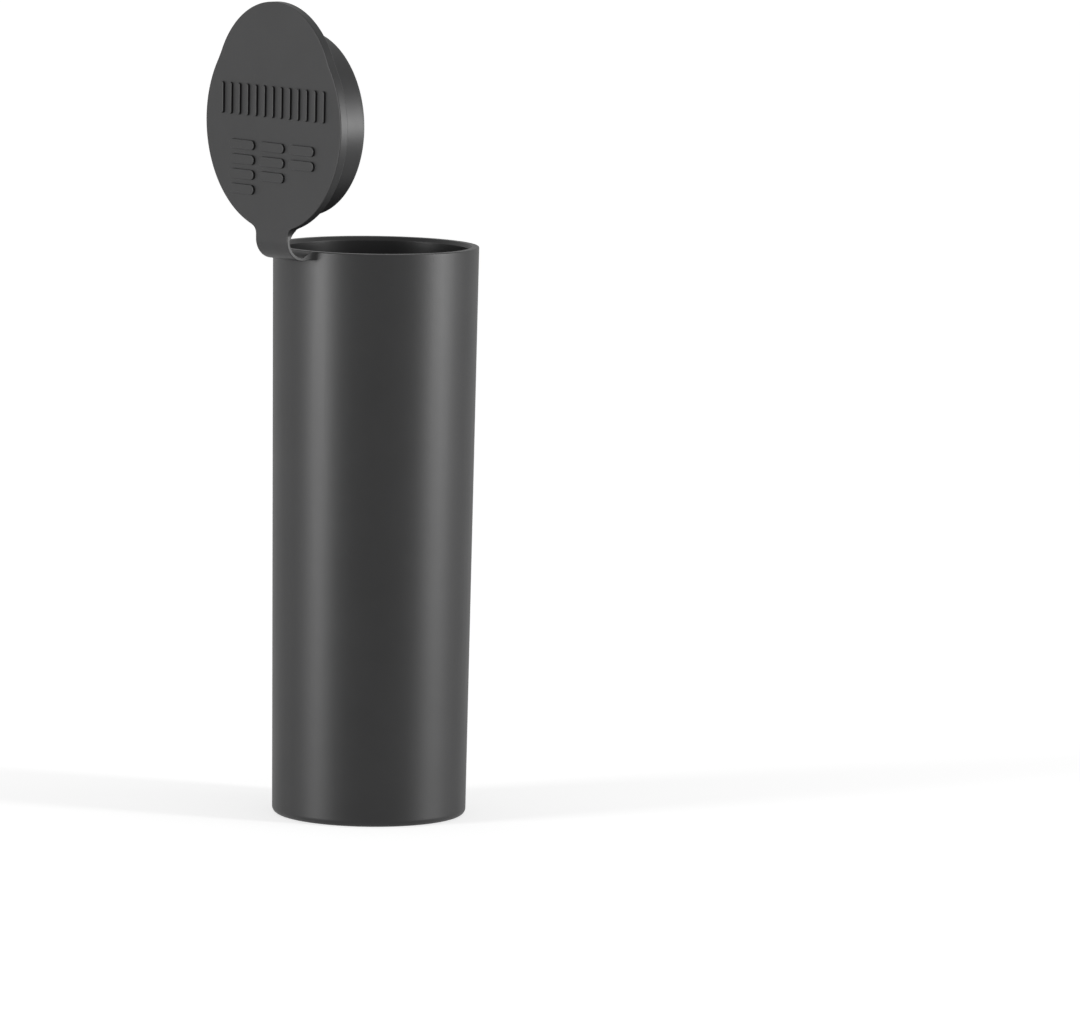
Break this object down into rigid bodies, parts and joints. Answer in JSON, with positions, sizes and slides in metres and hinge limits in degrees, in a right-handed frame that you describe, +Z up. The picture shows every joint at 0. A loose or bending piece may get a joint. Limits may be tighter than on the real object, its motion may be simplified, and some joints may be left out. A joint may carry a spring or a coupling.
{
  "type": "coin tube",
  "caption": "Tall round storage tube for a stack of coins, with a push-in lid on a bending strap hinge, shown open.",
  "frame": {"origin": "middle of the flat base that the tube stands on", "axes": "+Z up the tube's axis towards its mouth; -X from the axis towards the strap hinge and the open lid; Y across the strap"},
  "size_m": [0.0317, 0.0282, 0.1086],
  "materials": {
    "plastic": "satin moulded"
  },
  "bodies": {
    "tube": {"tube_base": "plastic", "tube_wall": "plastic", "hinge_root": "plastic"},
    "strap_1": {"strap_link_1": "plastic"},
    "strap_2": {"strap_link_2": "plastic"},
    "strap_3": {"strap_link_3": "plastic"},
    "strap_4": {"strap_link_4": "plastic"},
    "strap_5": {"strap_link_5": "plastic"},
    "strap_6": {"strap_link_6": "plastic"},
    "lid": {"hinge_neck": "plastic", "lid_plate": "plastic", "thumb_tab": "plastic", "plug_skirt": "plastic", "coin_mark": "plastic", "grip_ribs": "plastic"}
  },
  "joints": [
    {"name": "root_bend", "type": "hinge", "parent": "tube", "child": "strap_1", "pos_m": [-0.01415, 0, 0.07513], "axis": [0, 1, 0], "range_deg": [-24.67, 24.67]},
    {"name": "strap_bend_1", "type": "hinge", "parent": "strap_1", "child": "strap_2", "pos_m": [-0.01488, 0, 0.07497], "axis": [0, 1, 0], "range_deg": [-19.1, 19.1]},
    {"name": "strap_bend_2", "type": "hinge", "parent": "strap_2", "child": "strap_3", "pos_m": [-0.01563, 0, 0.07504], "axis": [0, 1, 0], "range_deg": [-19.1, 19.1]},
    {"name": "strap_bend_3", "type": "hinge", "parent": "strap_3", "child": "strap_4", "pos_m": [-0.01632, 0, 0.07532], "axis": [0, 1, 0], "range_deg": [-19.1, 19.1]},
    {"name": "strap_bend_4", "type": "hinge", "parent": "strap_4", "child": "strap_5", "pos_m": [-0.0169, 0, 0.07579], "axis": [0, 1, 0], "range_deg": [-19.1, 19.1]},
    {"name": "strap_bend_5", "type": "hinge", "parent": "strap_5", "child": "strap_6", "pos_m": [-0.01732, 0, 0.07641], "axis": [0, 1, 0], "range_deg": [-19.1, 19.1]},
    {"name": "lid_bend", "type": "hinge", "parent": "strap_6", "child": "lid", "pos_m": [-0.01754, 0, 0.07712], "axis": [0, 1, 0], "range_deg": [-19.1, 19.1]}
  ],
  "couplings": [
    {"joint": "root_bend", "follows": "lid_bend", "ratio": -1.288},
    {"joint": "strap_bend_1", "follows": "lid_bend", "ratio": 1},
    {"joint": "strap_bend_2", "follows": "lid_bend", "ratio": 1},
    {"joint": "strap_bend_3", "follows": "lid_bend", "ratio": 1},
    {"joint": "strap_bend_4", "follows": "lid_bend", "ratio": 1},
    {"joint": "strap_bend_5", "follows": "lid_bend", "ratio": 1}
  ]
}
